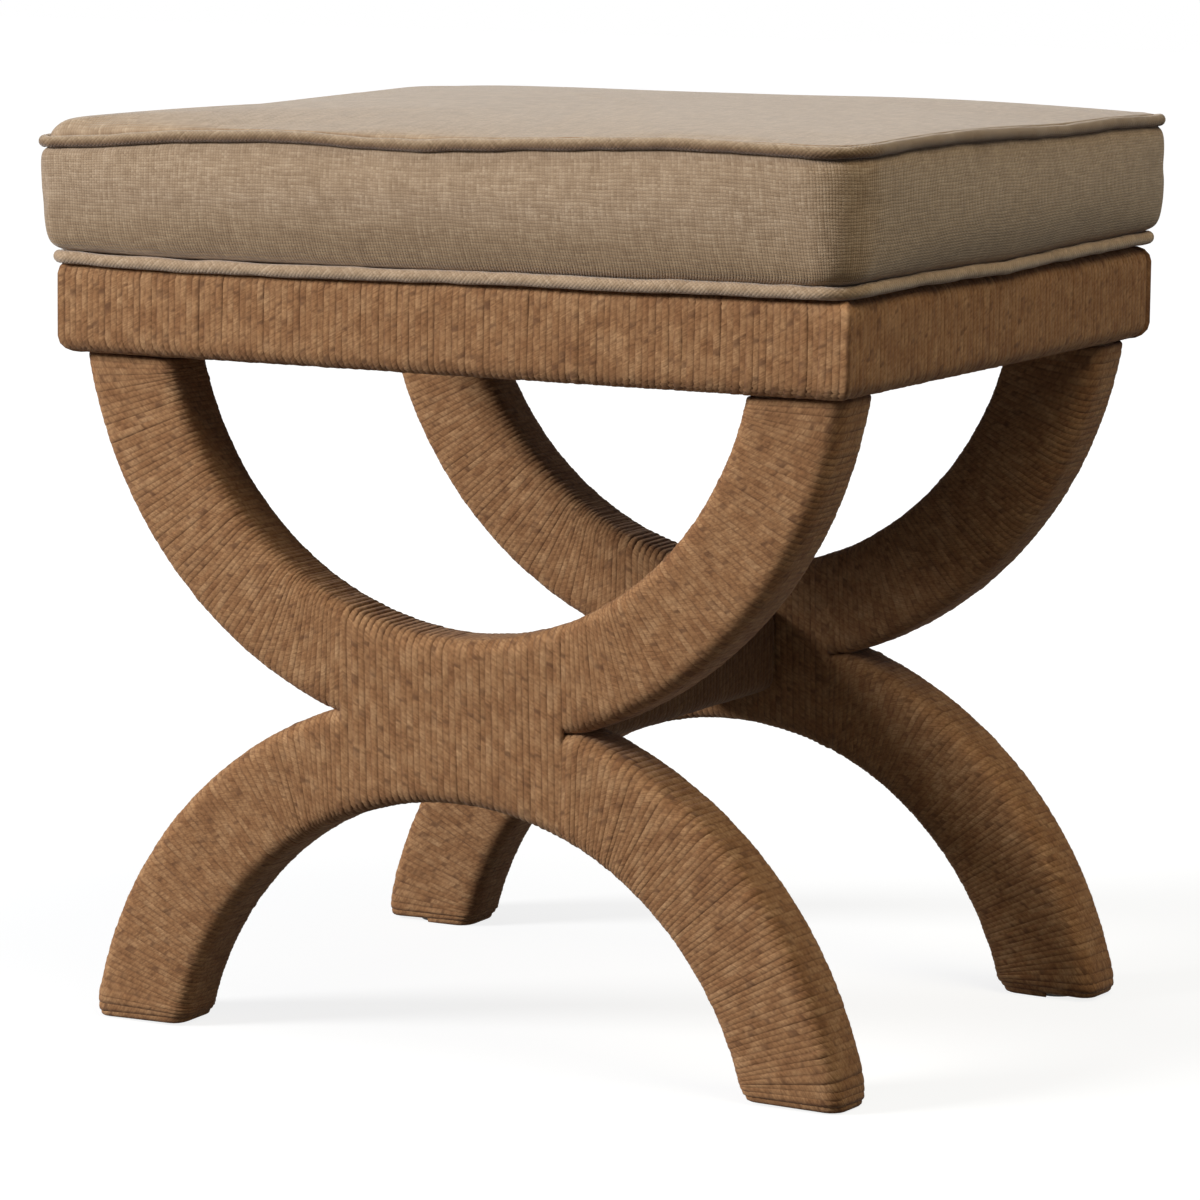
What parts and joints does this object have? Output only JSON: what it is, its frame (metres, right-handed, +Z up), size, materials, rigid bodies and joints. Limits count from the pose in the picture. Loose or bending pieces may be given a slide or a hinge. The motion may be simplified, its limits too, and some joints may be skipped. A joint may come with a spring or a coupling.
{
  "type": "stool bench",
  "caption": "Upholstered bench with a welted box cushion on a cord-wrapped seat frame, carried by a pair of arched X-frames joined by a stretcher.",
  "frame": {"origin": "on the floor, under the centre of the bench", "axes": "+Z up, +X along the long side to the right when seen from the front, -Y the front"},
  "size_m": [0.5022, 0.3842, 0.5087],
  "materials": {
    "wood": "bare sanded hardwood",
    "cord": "fine twisted natural-fibre cord, laid turn against turn, dry and matt",
    "steel": "zinc-plated",
    "plywood": "birch plywood, raw",
    "nylon": "moulded, matt",
    "cambric": "black non-woven dust cloth",
    "foam": "open-cell seat foam",
    "linen": "plain-weave linen, matt"
  },
  "bodies": {
    "root": {"front_upper_arch": "wood", "front_lower_arch": "wood", "front_hub_dowels": "wood", "front_hub_binding": "cord", "front_left_upper_wrap": "cord", "front_right_upper_wrap": "cord", "front_left_lower_wrap": "cord", "front_right_lower_wrap": "cord", "back_upper_arch": "wood", "back_lower_arch": "wood", "back_hub_dowels": "wood", "back_hub_binding": "cord", "back_left_upper_wrap": "cord", "back_right_upper_wrap": "cord", "back_left_lower_wrap": "cord", "back_right_lower_wrap": "cord", "stretcher": "wood", "stretcher_wrap": "cord", "front_stretcher_bolts": "steel", "back_stretcher_bolts": "steel", "stretcher_nuts": "steel", "front_rail": "wood", "right_rail": "wood", "back_rail": "wood", "left_rail": "wood", "front_rail_wrap": "cord", "right_rail_wrap": "cord", "back_rail_wrap": "cord", "left_rail_wrap": "cord", "arm_dowels": "wood", "arm_screws": "steel", "corner_blocks": "wood", "block_screws": "steel", "foot_glides": "nylon", "seat_board": "plywood", "seat_screws": "steel", "dust_cover": "cambric", "seat_foam": "foam", "seat_cover": "linen", "top_welt": "linen", "bottom_welt": "linen"}
  },
  "joints": []
}
